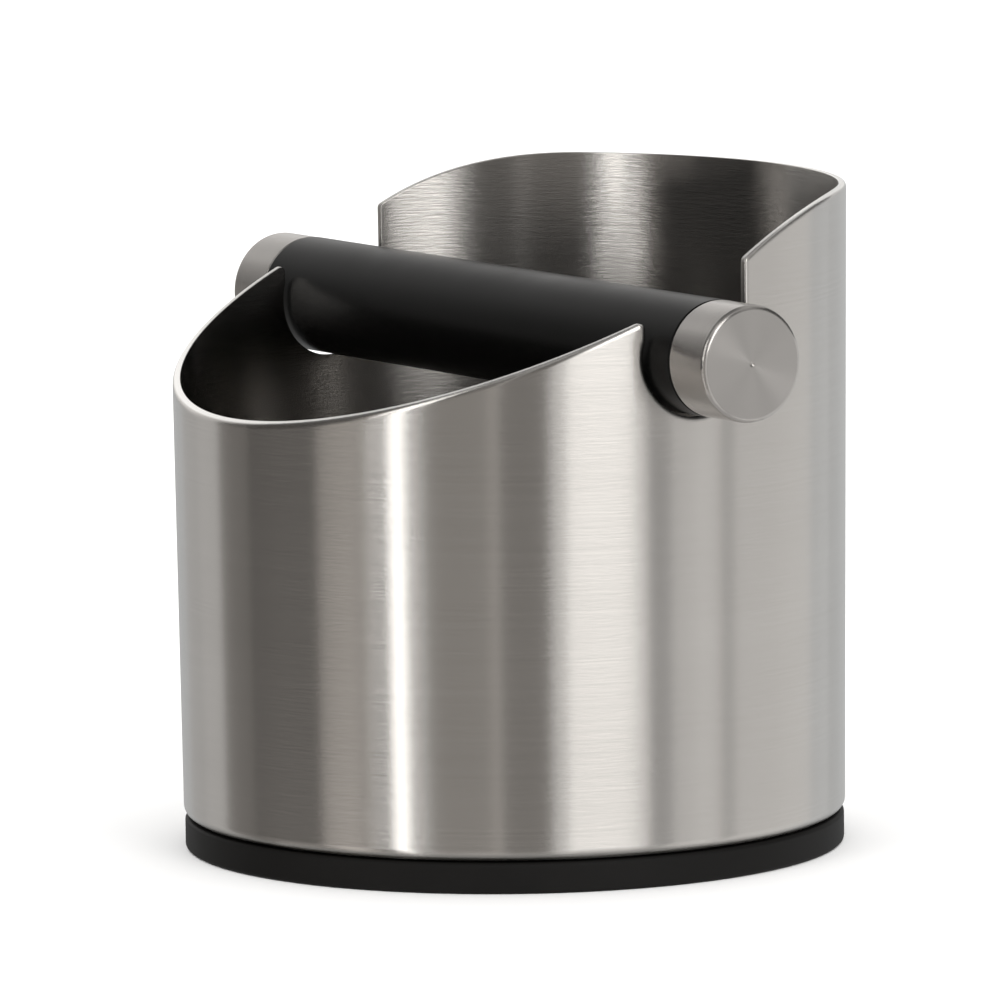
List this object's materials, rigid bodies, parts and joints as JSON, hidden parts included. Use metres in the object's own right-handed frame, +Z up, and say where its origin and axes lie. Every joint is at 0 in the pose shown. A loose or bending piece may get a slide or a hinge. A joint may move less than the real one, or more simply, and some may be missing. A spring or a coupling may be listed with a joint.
{
  "type": "espresso knock box",
  "caption": "Round steel bin with a low slanted front, a raised back and a rubber foot; a rubber-covered knock bar with steel end caps lies across it in wall slots and lifts out.",
  "frame": {"origin": "centre of the foot's underside, where the box stands on the counter", "axes": "+Z up, X along the knock bar, -Y towards the low front of the bin and +Y towards the high back"},
  "size_m": [0.1516, 0.1196, 0.1172],
  "materials": {
    "bin_steel": "brushed round the wall, satin",
    "foot_rubber": "matte black moulded rubber",
    "adhesive": "thin adhesive film",
    "sleeve_rubber": "smooth matte black rubber",
    "core_steel": "drawn steel tube",
    "plug_steel": "turned steel",
    "stud_steel": "plain threaded rod",
    "cap_steel": "turned on the outer face, brushed round the side"
  },
  "bodies": {
    "bin": {"body_shell": "bin_steel", "base_foot": "foot_rubber", "foot_adhesive": "adhesive"},
    "bar_carrier": {"core_tube": "core_steel"},
    "knock_bar": {"bar_sleeve": "sleeve_rubber", "threaded_plug_left": "plug_steel", "threaded_plug_right": "plug_steel", "cap_stud_left": "stud_steel", "cap_stud_right": "stud_steel", "end_cap_left": "cap_steel", "end_cap_right": "cap_steel"}
  },
  "joints": [
    {"name": "bar_lift", "type": "slide", "parent": "bin", "child": "bar_carrier", "axis": [0, 0, 1], "range_m": [0, 0.045]},
    {"name": "bar_turn", "type": "hinge", "parent": "bar_carrier", "child": "knock_bar", "pos_m": [0, 0, 0.0924], "axis": [1, 0, 0], "continuous": true}
  ]
}
